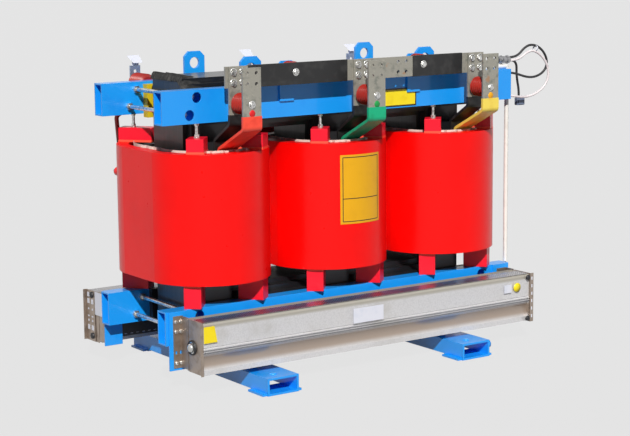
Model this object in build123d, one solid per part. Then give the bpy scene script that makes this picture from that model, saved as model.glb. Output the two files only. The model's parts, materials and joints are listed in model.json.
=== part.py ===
"""Dry type transformer: three cast-resin phases on a stacked core, with two cross-flow fans.

Millimetres. X runs along the three limbs, -Y is the low-voltage side, +Z is up.
The origin lies at the middle of the base, on the surface that the rails stand on.
"""
from build123d import *
import os
from math import cos, radians, sin, tan

# ---- core -------------------------------------------------------------------
LIMB_PITCH = 560.0
LIMB_X = (-LIMB_PITCH, 0.0, LIMB_PITCH)
# each step of the stacked section: half the width of its sheets, half the depth it reaches
CORE_STEPS = ((105.0, 111.0), (85.0, 140.0), (65.0, 169.0))
LOWER_YOKE_Z = 246.0
UPPER_YOKE_Z = 1060.0

# ---- windings: two straight sides joined by arcs ------------------------------
STRAIGHT_HALF = 116.0
ARC_RISE = 0.93
LV_HALF_WIDTH = (112.0, 170.0)
LV_Z = (412.0, 885.0)
HV_HALF_WIDTH = (195.0, 245.0)
HV_Z = (400.0, 897.0)
TAP_BOSS = (150.0, 26.0, 250.0)
STUD_RADIUS = 7.0
STUD_LENGTH = 24.0
TERMINAL_BOSS_RADIUS = 18.0
TERMINAL_OFFSET = -100.0
DELTA_OFFSET = -170.0

SPACER_FRONT = (-72.0, -24.0, 24.0, 72.0)
SPACER_SIDE = (-60.0, 0.0, 60.0)
SPACER_WIDTH = 14.0
SPACER_PROUD = 6.0
SPACER_GAP = 0.3

# ---- clamps -------------------------------------------------------------------
CLAMP_OVERHANG = 35.0
CLAMP_HALF_LENGTH = LIMB_PITCH + HV_HALF_WIDTH[1] + CLAMP_OVERHANG
CLAMP_DEPTH = 59.0
CLAMP_WALL = 6.0
UPPER_CLAMP_Z = (1009.0, 1135.0)
LOWER_CLAMP_Z = (182.0, 311.0)
UPPER_BOARD = 33.0
LOWER_BOARD = 25.0
BOARD_HALF_LENGTH = 657.0
TIE_RADIUS = 8.0
TIE_CLEARANCE = 0.5
TIE_OFFSETS = ((690.0, 34.0), (722.0, -31.0))
ACCESS_RADIUS = 20.0
NUT_RADIUS = 15.0
NUT_HEIGHT = 13.0

# ---- lifting lugs ---------------------------------------------------------------
LUG_X = 420.0
LUG_WIDTH = 92.0
LUG_HEIGHT = 108.0
LUG_THICKNESS = 12.0
LUG_HOLE_RADIUS = 22.0
LUG_CHAMFER = 20.0
LUG_SLOT = (46.0, 15.0)

# ---- base rails -----------------------------------------------------------------
RAIL_X = (-488.0, 448.0)
RAIL_WIDTH = 139.0
RAIL_HEIGHT = 67.0
RAIL_WALL = 8.0
RAIL_HALF_LENGTH = 513.0
FOOT_WIDTH = 175.0
FOOT_LENGTH = 120.0
FOOT_HOLE_RADIUS = 6.0
STAND_WIDTH = 110.0
STAND_WALL = 8.0
PAD_WIDTH = 100.0
PAD_LENGTH = 270.0

# ---- support blocks ---------------------------------------------------------------
BLOCK_ANGLE = 40.0
BLOCK_WIDTH = 66.0
UPPER_BLOCK_AT = {"front": (156.0, 283.0), "rear": (152.0, 287.0)}
UPPER_BLOCK_LENGTH = {"front": 100.0, "rear": 138.0}
UPPER_BLOCK_HEIGHT = 57.0
LOWER_BLOCK_AT = {"front": (164.0, 258.0), "rear": (152.0, 287.0)}
LOWER_BLOCK_LENGTH = {"front": 100.0, "rear": 110.0}
LIP_HEIGHT = 9.0
LIP_MARGIN = 1.5
JACK_RADIUS = 6.0
JACK_SETBACK = 52.0

# ---- low-voltage bars ---------------------------------------------------------------
LEAD_PITCH = 570.0
LEAD_SHIFT = 12.0
BAR_WIDTH = 80.0
BAR_THICKNESS = 8.0
BAR_RISE = 84.0
BAR_TOP = UPPER_CLAMP_Z[1] + BAR_RISE
BEND_RADIUS = 16.0
HOLE_PITCH = 40.0
HOLE_RADIUS = 7.0
PHASE_PLANE = -430.0
PHASE_FOOT = -256.0
PHASE_BENDS = (992.0, 906.0)
NEUTRAL_PLANE = -336.0
NEUTRAL_FOOT = -228.0
NEUTRAL_BENDS = (1004.0, 936.0)
SLEEVE_WALL = 1.5
PHASE_BOLT_Z = BAR_TOP - 136.0
SPARE_HOLE_Z = PHASE_BOLT_Z - 32.0
SLEEVE_TOP = SPARE_HOLE_Z - 11.0
NEUTRAL_HOLE_TOP = BAR_TOP - 3.0
NEUTRAL_BAR_X = (-609.0, 618.0)
NEUTRAL_SLEEVES = ((-509.0, -55.0), (264.0, 516.0))
NEUTRAL_SPARE_X = 212.0
NEUTRAL_BOLTS_X = (-294.0, 319.0)
NEUTRAL_BOLT_Z = BAR_TOP - 35.0
BOLT_RADIUS = 6.0
BOLT_HEAD = (11.0, 7.5)

# ---- insulators -----------------------------------------------------------------------
INSULATOR_RADIUS = 40.0
INSULATOR_WAIST = 28.0
INSULATOR_RIBS = 6
NEUTRAL_BRACKET = (64.0, 8.0)
NEUTRAL_BRACKET_Z = (UPPER_CLAMP_Z[0] + 61.0, BAR_TOP + 5.0)
HV_TERMINAL_X = (-600.0, -70.0, 468.0)
HV_INSULATOR_Z = 1118.0
HV_INSULATOR_LENGTH = 104.0
HV_TAB = (46.0, 6.0)
HV_TAB_Z = (1066.0, 1186.0)
HV_ROD_RADIUS = 9.0
LEAD_OUT = 45.0
LEAD_LEAN = 12.0
LEAD_TURN = 26.0
LEAD_BEND = 20.0
DELTA_OUT = 70.0

# ---- cross-flow fans --------------------------------------------------------------------
FAN_X = (-776.0, 817.0)
FAN_BACK = -300.0
FAN_FRONT = -411.0
FAN_Z = (90.0, 290.0)
FAN_SHEET = 2.0
FAN_RIDGE_Z = 197.0
FAN_RIDGE = 9.0
FAN_LIP_Z = 108.0
FAN_LID_DEPTH = 84.0
FAN_SLOT_PITCH = 30.0
FAN_SLOT_WIDTH = 16.0
FAN_AXIS = (-342.0, 186.0)
IMPELLER_RADIUS = 36.0
IMPELLER_BLADES = 16
IMPELLER_DISCS = 7
IMPELLER_DISC = 2.0
IMPELLER_END_GAP = 14.0
SHAFT_RADIUS = 5.0
SHAFT_CLEARANCE = 0.05
MOTOR_RADIUS = 38.0
MOTOR_LENGTH = 70.0
CAP_RADIUS = 22.0
HANGER_X = (-828.0, -750.0)
HANGER_WALL = 6.0
HANGER_BOTTOM = 86.0
STRAP_WALL = 3.0
STRAP_X = (-812.0, -770.0)
STRAP_Z = (95.0, 294.0)
STRAP_SLOT = (14.0, 8.0)
STRAP_WEB = 12.0
STRAP_ROWS = (115.0, 155.0, 235.0, 272.0)
STRAP_SPREAD = 10.0

# ---- wiring -------------------------------------------------------------------------------
CONDUIT_RADIUS = 9.0
CONDUIT_Y = -222.0
CONDUIT_GAP = 0.3
CONDUIT_BOTTOM = 312.0
CONDUIT_BEND = 9.5
CONDUIT_ARM = 64.0
GLAND_RADIUS = 15.0
GLAND_NUT_RADIUS = 18.0
GLAND_LENGTH = 60.0
GLAND_SETBACK = 50.0
CABLE_RADIUS = 5.0
CABLE_GAP = 0.3

UP = (Align.CENTER, Align.CENTER, Align.MIN)
ENDS = (("front", -1), ("rear", 1))


# ---- helpers --------------------------------------------------------------------------------
def block(x, y, z):
    """A box from three (low, high) pairs."""
    size = [high - low for low, high in (x, y, z)]
    middle = [(high + low) / 2 for low, high in (x, y, z)]
    return Pos(*middle) * Box(*size)


def rod(radius, start, direction, length):
    """A round bar from a start point along one of the axes."""
    turn = {"x": Rot(0, 90, 0), "y": Rot(-90, 0, 0), "z": Rot(0, 0, 0)}[direction]
    return Pos(*start) * turn * Cylinder(radius, length, align=UP)


def hexagon(radius, start, direction, length):
    """A hexagon nut or head, standing on start and growing along +direction."""
    turn = {"x": Rot(0, 90, 0), "y": Rot(-90, 0, 0), "z": Rot(0, 0, 0)}[direction]
    return Pos(*start) * turn * extrude(RegularPolygon(radius, 6), length)


def oblong(half_width):
    """The outline of a winding: straight sides along Y, flattened arcs at both ends."""
    s = STRAIGHT_HALF
    rise = s + ARC_RISE * half_width
    right = Line((half_width, -s), (half_width, s))
    back = ThreePointArc((half_width, s), (0, rise), (-half_width, s))
    left = Line((-half_width, s), (-half_width, -s))
    front = ThreePointArc((-half_width, -s), (0, -rise), (half_width, -s))
    return make_face([right, back, left, front])


def ring(half_widths, z):
    """An oblong tube between two half widths."""
    wall = oblong(half_widths[1]) - oblong(half_widths[0])
    return Pos(0, 0, z[0]) * extrude(wall, z[1] - z[0])


def reach(half_width, x=0.0):
    """How far an oblong outline reaches along Y at a place x."""
    rise = ARC_RISE * half_width
    radius = (half_width ** 2 + rise ** 2) / (2 * rise)
    return STRAIGHT_HALF + rise - radius + (radius ** 2 - x ** 2) ** 0.5


def group(pieces):
    """Separate solids that share one node."""
    solids = [solid for piece in pieces for solid in piece.solids()]
    return Compound(children=solids)


def ribbed_post(length):
    """A ribbed resin post insulator along +Y, from y = 0 to y = length."""
    cap = 6.0
    step = (length - 2 * cap) / (2 * INSULATOR_RIBS)
    points = [(0, 0), (INSULATOR_WAIST, 0), (INSULATOR_WAIST, cap)]
    for rib in range(INSULATOR_RIBS):
        crest = cap + (2 * rib + 1) * step
        points += [(INSULATOR_RADIUS, crest), (INSULATOR_WAIST, crest + step)]
    points += [(INSULATOR_WAIST, length), (0, length)]
    outline = make_face(Polyline(*points, close=True))
    return revolve(outline, Axis.Y)


# ---- core and its clamping ---------------------------------------------------------------------
def core_limb(x):
    """A stepped limb between the yokes, thick sheets in the middle, thin ones outside."""
    solid = None
    inner = 0.0
    for half_width, depth in CORE_STEPS:
        z = (LOWER_YOKE_Z + half_width, UPPER_YOKE_Z - half_width)
        bands = [(-depth, depth)] if inner == 0 else [(-depth, -inner), (inner, depth)]
        for band in bands:
            step = block((x - half_width, x + half_width), band, z)
            solid = step if solid is None else solid + step
        inner = depth
    return solid


def core_yoke(z_middle):
    """A stepped yoke across the three limbs, made of the same widths of sheet."""
    solid = None
    inner = 0.0
    for half_width, depth in CORE_STEPS:
        ends = (LIMB_X[0] - half_width, LIMB_X[2] + half_width)
        z = (z_middle - half_width, z_middle + half_width)
        bands = [(-depth, depth)] if inner == 0 else [(-depth, -inner), (inner, depth)]
        for band in bands:
            step = block(ends, band, z)
            solid = step if solid is None else solid + step
        inner = depth
    return solid


CORE_FACE = CORE_STEPS[-1][1]
UPPER_CLAMP_FACE = CORE_FACE + UPPER_BOARD
LOWER_CLAMP_FACE = CORE_FACE + LOWER_BOARD
UPPER_CLAMP_FRONT = UPPER_CLAMP_FACE + CLAMP_DEPTH
LOWER_CLAMP_FRONT = LOWER_CLAMP_FACE + CLAMP_DEPTH
UPPER_CLAMP_MIDDLE = sum(UPPER_CLAMP_Z) / 2
LOWER_CLAMP_MIDDLE = sum(LOWER_CLAMP_Z) / 2


def yoke_boards():
    """Insulating boards between the yokes and the clamps."""
    x = (-BOARD_HALF_LENGTH, BOARD_HALF_LENGTH)
    half = CORE_STEPS[-1][0]
    boards = []
    for face, z in ((UPPER_CLAMP_FACE, UPPER_YOKE_Z), (LOWER_CLAMP_FACE, LOWER_YOKE_Z)):
        boards.append(block(x, (CORE_FACE, face), (z - half, z + half)))
        boards.append(block(x, (-face, -CORE_FACE), (z - half, z + half)))
    return group(boards)


def tie_places(z_middle):
    """Where the tie bolts cross, beyond both ends of a yoke."""
    return [(side * x, z_middle + z) for side in (-1, 1) for x, z in TIE_OFFSETS]


def jack_places():
    """Where the jack bolts stand, in the middle of each upper block."""
    places = []
    for end, sy in ENDS:
        at_x = UPPER_BLOCK_AT[end][0] - JACK_SETBACK * sin(radians(BLOCK_ANGLE))
        at_y = UPPER_BLOCK_AT[end][1] - JACK_SETBACK * cos(radians(BLOCK_ANGLE))
        places += [(x + sx * at_x, sy * at_y) for x in LIMB_X for sx in (-1, 1)]
    return places


def clamp(face, z, side):
    """A box-section clamp with open ends. side is -1 at the front and 1 at the rear."""
    front = face + CLAMP_DEPTH
    y = sorted((side * face, side * front))
    inner_y = (y[0] + CLAMP_WALL, y[1] - CLAMP_WALL)
    x = (-CLAMP_HALF_LENGTH, CLAMP_HALF_LENGTH)
    body = block(x, y, z) - block(x, inner_y, (z[0] + CLAMP_WALL, z[1] - CLAMP_WALL))
    for tie_x, tie_z in tie_places(sum(z) / 2):
        body -= rod(TIE_RADIUS + TIE_CLEARANCE, (tie_x, y[0] - 1, tie_z), "y", CLAMP_DEPTH + 2)
        start = (side * front) if side < 0 else (side * front - CLAMP_WALL)
        body -= rod(ACCESS_RADIUS, (tie_x, start, tie_z), "y", CLAMP_WALL)
    return body


def upper_clamp(side):
    """The upper clamp, with holes in its lower wall for the jack bolts."""
    body = clamp(UPPER_CLAMP_FACE, UPPER_CLAMP_Z, side)
    for x, y in jack_places():
        if y * side > 0:
            body -= rod(JACK_RADIUS + TIE_CLEARANCE, (x, y, UPPER_CLAMP_Z[0] - 1), "z", CLAMP_WALL + 2)
    return body


def tie_bolts(face, z_middle):
    """Threaded rods across both clamps of a yoke, nutted on both faces of each inner wall."""
    bolts = []
    tail = NUT_HEIGHT + 6.0
    end = face + CLAMP_WALL + tail
    for x, z in tie_places(z_middle):
        bolt = rod(TIE_RADIUS, (x, -end, z), "y", 2 * end)
        for side in (-1, 1):
            inside = side * face - (NUT_HEIGHT if side > 0 else 0)
            outside = side * (face + CLAMP_WALL) - (NUT_HEIGHT if side < 0 else 0)
            bolt += hexagon(NUT_RADIUS, (x, inside, z), "y", NUT_HEIGHT)
            bolt += hexagon(NUT_RADIUS, (x, outside, z), "y", NUT_HEIGHT)
        bolts.append(bolt)
    return group(bolts)


def lifting_lugs():
    """Four lug plates that stand on the upper clamps, over their inner walls."""
    lugs = []
    foot = UPPER_CLAMP_Z[1]
    for x in (-LUG_X, LUG_X):
        for side in (-1, 1):
            inner = side * UPPER_CLAMP_FACE
            y = sorted((inner, inner + side * LUG_THICKNESS))
            plate = block((x - LUG_WIDTH / 2, x + LUG_WIDTH / 2), y, (foot, foot + LUG_HEIGHT))
            corners = plate.edges().filter_by(Axis.Y).group_by(Axis.Z)[-1]
            plate = chamfer(corners, LUG_CHAMFER)
            eye_z = foot + LUG_HEIGHT - LUG_WIDTH / 2
            plate -= rod(LUG_HOLE_RADIUS, (x, y[0] - 1, eye_z), "y", LUG_THICKNESS + 2)
            slot = (x - LUG_SLOT[0] / 2, x + LUG_SLOT[0] / 2)
            plate -= block(slot, (y[0] - 1, y[1] + 1), (foot, foot + LUG_SLOT[1]))
            lugs.append(plate)
    return group(lugs)


# ---- base --------------------------------------------------------------------------------------
def rail(x):
    """A channel rail on two foot plates, with the stands that carry the lower clamps."""
    half = RAIL_WIDTH / 2
    y = (-RAIL_HALF_LENGTH, RAIL_HALF_LENGTH)
    body = block((x - half, x + half), y, (RAIL_WALL, RAIL_HEIGHT))
    body -= block((x - half + RAIL_WALL, x + half - RAIL_WALL), y, (RAIL_WALL, RAIL_HEIGHT - RAIL_WALL))
    for side in (-1, 1):
        outer = side * RAIL_HALF_LENGTH
        plate = Pos(x, outer - side * FOOT_LENGTH / 2, 0) * extrude(foot_outline(), RAIL_WALL)
        body += plate
        stand_y = sorted((side * LOWER_CLAMP_FACE, side * LOWER_CLAMP_FRONT))
        stand_x = (x - STAND_WIDTH / 2, x + STAND_WIDTH / 2)
        stand = block(stand_x, stand_y, (RAIL_HEIGHT, LOWER_CLAMP_Z[0]))
        window_x = (stand_x[0] + STAND_WALL, stand_x[1] - STAND_WALL)
        window_z = (RAIL_HEIGHT, LOWER_CLAMP_Z[0] - STAND_WALL)
        body += stand - block(window_x, stand_y, window_z)
    return body


def foot_outline():
    """A foot plate: a rectangle with an anchor hole in each side ear."""
    plate = RectangleRounded(FOOT_WIDTH, FOOT_LENGTH, 6)
    notch = 9.0
    ear = RAIL_WIDTH / 2
    for side in (-1, 1):
        plate -= Pos(side * (ear + notch), FOOT_LENGTH / 2) * Rectangle(2 * notch, 2 * notch)
        plate -= Pos(side * (ear + notch), -FOOT_LENGTH / 2) * Rectangle(2 * notch, 2 * notch)
        plate -= Pos(side * (ear + notch), 0) * Circle(FOOT_HOLE_RADIUS)
    return plate


def yoke_pads():
    """Packing under the lower yoke, one block on each rail."""
    z = (RAIL_HEIGHT, LOWER_YOKE_Z - CORE_STEPS[0][0])
    y = (-PAD_LENGTH / 2, PAD_LENGTH / 2)
    return group([block((x - PAD_WIDTH / 2, x + PAD_WIDTH / 2), y, z) for x in RAIL_X])


# ---- windings ----------------------------------------------------------------------------------
HV_BACK = reach(HV_HALF_WIDTH[1])
TERMINAL_Z = (HV_Z[0] + 60, HV_Z[1] - 60)
DELTA_Z = TERMINAL_Z[1] - 60


def terminal_face(offset):
    """Where the flat of a terminal boss lies, just proud of the coil's curved back."""
    return reach(HV_HALF_WIDTH[1], abs(offset) - TERMINAL_BOSS_RADIUS) + 2


def terminal_places():
    """The three terminals of a coil: start, finish and the delta tap."""
    return [(TERMINAL_OFFSET, TERMINAL_Z[0]), (TERMINAL_OFFSET, TERMINAL_Z[1]), (DELTA_OFFSET, DELTA_Z)]


def hv_coil(x):
    """The cast high-voltage coil, with the tap boss and terminal bosses on its back."""
    coil = ring(HV_HALF_WIDTH, HV_Z)
    middle = sum(HV_Z) / 2
    width, height, tall = TAP_BOSS
    wall_middle = (reach(HV_HALF_WIDTH[0]) + HV_BACK) / 2
    y = (wall_middle, HV_BACK + height)
    coil += block((-width / 2, width / 2), y, (middle - tall / 2, middle + tall / 2))
    for offset, z in terminal_places():
        face = terminal_face(offset)
        coil += rod(TERMINAL_BOSS_RADIUS, (offset, face - 25, z), "y", 25)
    return Pos(x, 0, 0) * coil


def lv_winding(x):
    """The foil low-voltage winding with its resin ends."""
    return Pos(x, 0, 0) * ring(LV_HALF_WIDTH, LV_Z)


def duct_spacers():
    """Spacer strips in the duct between the two windings, standing proud at the top."""
    duct = (LV_HALF_WIDTH[1] + SPACER_GAP, HV_HALF_WIDTH[0] - SPACER_GAP)
    z = (LV_Z[0], HV_Z[1] + SPACER_PROUD)
    half = SPACER_WIDTH / 2
    far = HV_HALF_WIDTH[1] + STRAIGHT_HALF
    spacers = []
    for at in SPACER_FRONT:
        for side in (-1, 1):
            spacers.append(block((at - half, at + half), sorted((0, side * far)), z))
    for at in SPACER_SIDE:
        for side in (-1, 1):
            spacers.append(block(sorted((0, side * far)), (at - half, at + half), z))
    kept = [strip & ring(duct, z) for strip in spacers]
    return group([Pos(x, 0, 0) * strip for x in LIMB_X for strip in kept])


# ---- support blocks ------------------------------------------------------------------------------
def radial_block(length, width, z, at, signs):
    """A block whose outer face stands at a place, turned toward the corner of the coil."""
    turn = BLOCK_ANGLE if signs[0] * signs[1] < 0 else -BLOCK_ANGLE
    inward = -signs[1]
    bar = block((-width / 2, width / 2), sorted((0, inward * length)), z)
    return Pos(signs[0] * at[0], signs[1] * at[1], 0) * Rot(0, 0, turn) * bar


def four_corners():
    """The four corners of a coil: front or rear, and the signs of X and Y there."""
    return [(end, (sx, sy)) for end, sy in ENDS for sx in (-1, 1)]


def upper_blocks():
    """Four blocks on top of each coil, each on a slightly wider pad, under the upper clamps."""
    blocks = []
    z = (HV_Z[1], HV_Z[1] + UPPER_BLOCK_HEIGHT)
    lip = (HV_Z[1], HV_Z[1] + LIP_HEIGHT)
    for x in LIMB_X:
        for end, signs in four_corners():
            at, length = UPPER_BLOCK_AT[end], UPPER_BLOCK_LENGTH[end]
            solid = radial_block(length, BLOCK_WIDTH, z, at, signs)
            solid += radial_block(length, BLOCK_WIDTH + 2 * LIP_MARGIN, lip, at, signs)
            blocks.append(Pos(x, 0, 0) * solid)
    return group(blocks)


def lower_blocks():
    """Four blocks under each coil, on top of the lower clamps."""
    z = (LOWER_CLAMP_Z[1], HV_Z[0])
    blocks = []
    for x in LIMB_X:
        for end, signs in four_corners():
            solid = radial_block(LOWER_BLOCK_LENGTH[end], BLOCK_WIDTH, z, LOWER_BLOCK_AT[end], signs)
            blocks.append(Pos(x, 0, 0) * solid)
    return group(blocks)


def jack_bolts():
    """Jack bolts between the upper blocks and the upper clamps."""
    top = HV_Z[1] + UPPER_BLOCK_HEIGHT
    bolts = []
    for x, y in jack_places():
        bolt = rod(JACK_RADIUS, (x, y, top), "z", UPPER_CLAMP_Z[0] + CLAMP_WALL + 8 - top)
        bolt += rod(JACK_RADIUS + 6, (x, y, top), "z", 3)
        bolt += hexagon(JACK_RADIUS + 4, (x, y, top + 3), "z", 10)
        bolt += hexagon(JACK_RADIUS + 4, (x, y, UPPER_CLAMP_Z[0] - 9), "z", 9)
        bolts.append(bolt)
    return group(bolts)


# ---- low-voltage bars -------------------------------------------------------------------------------
def lead_x(phase):
    """The middle of a phase's bars."""
    return LEAD_SHIFT + (phase - 1) * LEAD_PITCH


def lead_path(plane, foot, bends, top):
    """The centre line of a bar: down its plane, back and down to the winding, then in."""
    points = [(plane, top), (plane, bends[0]), (foot, bends[1]), (foot, LV_Z[1])]
    return FilletPolyline(*points, radius=BEND_RADIUS)


def bent_bar(x, path, width, thickness):
    """A flat bar along a centre line in the YZ plane."""
    section = trace(path, thickness)
    return Pos(x - width / 2, 0, 0) * extrude(Plane.YZ * section, width)


def bar_hole(x, z, y, length):
    return rod(HOLE_RADIUS, (x, y, z), "y", length)


def hole_square(x, top):
    """Two by two bolt holes below the top edge of a bar."""
    half = HOLE_PITCH / 2
    return [(x + side * half, top - half - row * HOLE_PITCH) for side in (-1, 1) for row in (0, 1)]


def phase_bar(phase):
    """A phase's output bar, bare at the top, with its terminal holes."""
    x = lead_x(phase)
    path = lead_path(PHASE_PLANE, PHASE_FOOT, PHASE_BENDS, BAR_TOP)
    bar = bent_bar(x, path, BAR_WIDTH, BAR_THICKNESS)
    places = hole_square(x, BAR_TOP) + [(x, PHASE_BOLT_Z), (x, SPARE_HOLE_Z)]
    for hole_x, hole_z in places:
        bar -= bar_hole(hole_x, hole_z, PHASE_PLANE - BAR_THICKNESS, 2 * BAR_THICKNESS)
    return bar


def neutral_lead(phase):
    """A phase's star-point bar, nearer the core than its output bar."""
    x = lead_x(phase)
    path = lead_path(NEUTRAL_PLANE, NEUTRAL_FOOT, NEUTRAL_BENDS, BAR_TOP)
    bar = bent_bar(x, path, BAR_WIDTH, BAR_THICKNESS)
    for hole_x, hole_z in hole_square(x, NEUTRAL_HOLE_TOP) + [(x, PHASE_BOLT_Z)]:
        bar -= bar_hole(hole_x, hole_z, NEUTRAL_PLANE - BAR_THICKNESS, 2 * BAR_THICKNESS)
    return bar


def sleeve(x, plane, foot, bends):
    """Shrink sleeve around the lower part of a bar."""
    path = lead_path(plane, foot, bends, SLEEVE_TOP)
    outer = bent_bar(x, path, BAR_WIDTH + 2 * SLEEVE_WALL, BAR_THICKNESS + 2 * SLEEVE_WALL)
    inner = bent_bar(x, path, BAR_WIDTH, BAR_THICKNESS)
    return outer - inner


def phase_sleeve(phase):
    return sleeve(lead_x(phase), PHASE_PLANE, PHASE_FOOT, PHASE_BENDS)


NEUTRAL_BAR_Y = (NEUTRAL_PLANE + BAR_THICKNESS / 2, NEUTRAL_PLANE + BAR_THICKNESS * 1.5)
NEUTRAL_BAR_Z = (BAR_TOP - BAR_WIDTH, BAR_TOP)


def neutral_sleeves():
    """Black shrink sleeve on the star-point bars and along the busbar."""
    solids = [sleeve(lead_x(phase), NEUTRAL_PLANE, NEUTRAL_FOOT, NEUTRAL_BENDS) for phase in range(3)]
    grow = SLEEVE_WALL
    for x in NEUTRAL_SLEEVES:
        outer = block(x, (NEUTRAL_BAR_Y[0] - grow, NEUTRAL_BAR_Y[1] + grow),
                      (NEUTRAL_BAR_Z[0] - grow, NEUTRAL_BAR_Z[1] + grow))
        tube = outer - block(x, NEUTRAL_BAR_Y, NEUTRAL_BAR_Z)
        for bolt_x in NEUTRAL_BOLTS_X:
            tube -= rod(BOLT_HEAD[0] + 4, (bolt_x, NEUTRAL_BAR_Y[0] - 2 * grow, NEUTRAL_BOLT_Z), "y", 2 * grow)
            tube -= rod(INSULATOR_WAIST + 1, (bolt_x, NEUTRAL_BAR_Y[1], NEUTRAL_BOLT_Z), "y", 2 * grow)
        solids.append(tube)
    return group(solids)


def neutral_busbar():
    """The star-point busbar along the low-voltage side."""
    bar = block(NEUTRAL_BAR_X, NEUTRAL_BAR_Y, NEUTRAL_BAR_Z)
    holes = hole_square(NEUTRAL_SPARE_X, BAR_TOP)
    for phase in range(3):
        holes += hole_square(lead_x(phase), NEUTRAL_HOLE_TOP)
    holes += [(x, NEUTRAL_BOLT_Z) for x in NEUTRAL_BOLTS_X]
    for x, z in holes:
        bar -= bar_hole(x, z, NEUTRAL_BAR_Y[0] - 1, BAR_THICKNESS + 2)
    return bar


def through_bolt(x, z, front, back, nut=True):
    """A hexagon bolt along +Y with its head at the front."""
    bolt = rod(BOLT_RADIUS, (x, front, z), "y", back - front)
    bolt += hexagon(BOLT_HEAD[0], (x, front - BOLT_HEAD[1], z), "y", BOLT_HEAD[1])
    if nut:
        bolt += hexagon(BOLT_HEAD[0], (x, back, z), "y", BOLT_HEAD[1])
    return bolt


PHASE_FRONT = PHASE_PLANE - BAR_THICKNESS / 2
PHASE_BACK = PHASE_PLANE + BAR_THICKNESS / 2
NEUTRAL_FRONT = NEUTRAL_PLANE - BAR_THICKNESS / 2
POST_BITE = 16.0


def busbar_bolts():
    """All bolts of the low-voltage bars."""
    bolts = []
    for phase in range(3):
        x = lead_x(phase)
        for hole_x, hole_z in hole_square(x, NEUTRAL_HOLE_TOP):
            bolts.append(through_bolt(hole_x, hole_z, NEUTRAL_FRONT, NEUTRAL_BAR_Y[1]))
        bolts.append(through_bolt(x, PHASE_BOLT_Z, PHASE_FRONT, PHASE_BACK + POST_BITE, nut=False))
        back = NEUTRAL_PLANE + BAR_THICKNESS / 2
        bolts.append(Pos(0, 2 * back, 0) * Rot(0, 0, 180) *
                     through_bolt(-x, PHASE_BOLT_Z, back, back + BAR_THICKNESS + POST_BITE, nut=False))
    for x in NEUTRAL_BOLTS_X:
        bolts.append(through_bolt(x, NEUTRAL_BOLT_Z, NEUTRAL_BAR_Y[0], NEUTRAL_BAR_Y[1] + POST_BITE, nut=False))
    return group(bolts)


def tapped(post, x, z, ends):
    """A post insulator with a blind hole for the bolt at each named end."""
    for start in ends:
        post -= rod(BOLT_RADIUS, (x, start, z), "y", POST_BITE)
    return post


def phase_insulators():
    """Posts that brace each phase bar to the star-point bar behind it."""
    length = NEUTRAL_FRONT - PHASE_BACK
    posts = []
    for phase in range(3):
        x = lead_x(phase)
        post = Pos(x, PHASE_BACK, PHASE_BOLT_Z) * ribbed_post(length)
        posts.append(tapped(post, x, PHASE_BOLT_Z, (PHASE_BACK, NEUTRAL_FRONT - POST_BITE)))
    return group(posts)


NEUTRAL_BRACKET_FRONT = -UPPER_CLAMP_FRONT - NEUTRAL_BRACKET[1]


def neutral_brackets():
    """Upright flats on the front clamp that carry the busbar's insulators."""
    half = NEUTRAL_BRACKET[0] / 2
    flats = []
    for x in NEUTRAL_BOLTS_X:
        y = (NEUTRAL_BRACKET_FRONT, -UPPER_CLAMP_FRONT)
        flat = block((x - half, x + half), y, NEUTRAL_BRACKET_Z)
        corners = flat.edges().filter_by(Axis.Y).group_by(Axis.Z)[-1]
        flats.append(chamfer(corners, 8))
    return group(flats)


def neutral_insulators():
    """Posts between the upright flats and the busbar."""
    length = NEUTRAL_BRACKET_FRONT - NEUTRAL_BAR_Y[1]
    posts = []
    for x in NEUTRAL_BOLTS_X:
        post = Pos(x, NEUTRAL_BAR_Y[1], NEUTRAL_BOLT_Z) * ribbed_post(length)
        posts.append(tapped(post, x, NEUTRAL_BOLT_Z, (NEUTRAL_BAR_Y[1],)))
    return group(posts)


# ---- high-voltage side -------------------------------------------------------------------------------
HV_TAB_Y = UPPER_CLAMP_FRONT + HV_INSULATOR_LENGTH


def hv_insulators():
    """Posts on the rear clamp for the high-voltage terminals."""
    posts = []
    for x in HV_TERMINAL_X:
        posts.append(Pos(x, UPPER_CLAMP_FRONT, HV_INSULATOR_Z) * ribbed_post(HV_INSULATOR_LENGTH))
    return group(posts)


def hv_terminals():
    """Terminal tabs on the posts, and the brass studs and tap links on the coils."""
    pieces = []
    half = HV_TAB[0] / 2
    for x in HV_TERMINAL_X:
        tab = block((x - half, x + half), (HV_TAB_Y, HV_TAB_Y + HV_TAB[1]), HV_TAB_Z)
        tab -= rod(HOLE_RADIUS, (x, HV_TAB_Y - 1, HV_TAB_Z[1] - half), "y", HV_TAB[1] + 2)
        pieces.append(tab)
    boss_y = HV_BACK + TAP_BOSS[1]
    middle = sum(HV_Z) / 2
    for x in LIMB_X:
        studs = [(dx, dz) for dx in (-40, 40) for dz in (-80, 0, 80)]
        for dx, dz in studs:
            stud = rod(STUD_RADIUS, (x + dx, boss_y, middle + dz), "y", STUD_LENGTH)
            if dz == 0 and dx < 0:
                link = block((x - 52, x + 52), (boss_y + 8, boss_y + 12), (middle - 12, middle + 12))
                stud += link
                stud += rod(STUD_RADIUS, (x - dx, boss_y, middle + dz), "y", STUD_LENGTH)
            if dz != 0 or dx < 0:
                pieces.append(stud)
        for offset, z in terminal_places():
            pieces.append(rod(STUD_RADIUS, (x + offset, terminal_face(offset), z), "y", STUD_LENGTH))
    return group(pieces)


def swept_rod(points, radius, bend):
    """A round bar along a path with rounded corners."""
    path = FilletPolyline(*points, radius=bend)
    section = Plane(path @ 0, z_dir=path % 0) * Circle(radius)
    return sweep(section, path=path)


TERMINAL_Y = terminal_face(TERMINAL_OFFSET) + STUD_LENGTH


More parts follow.
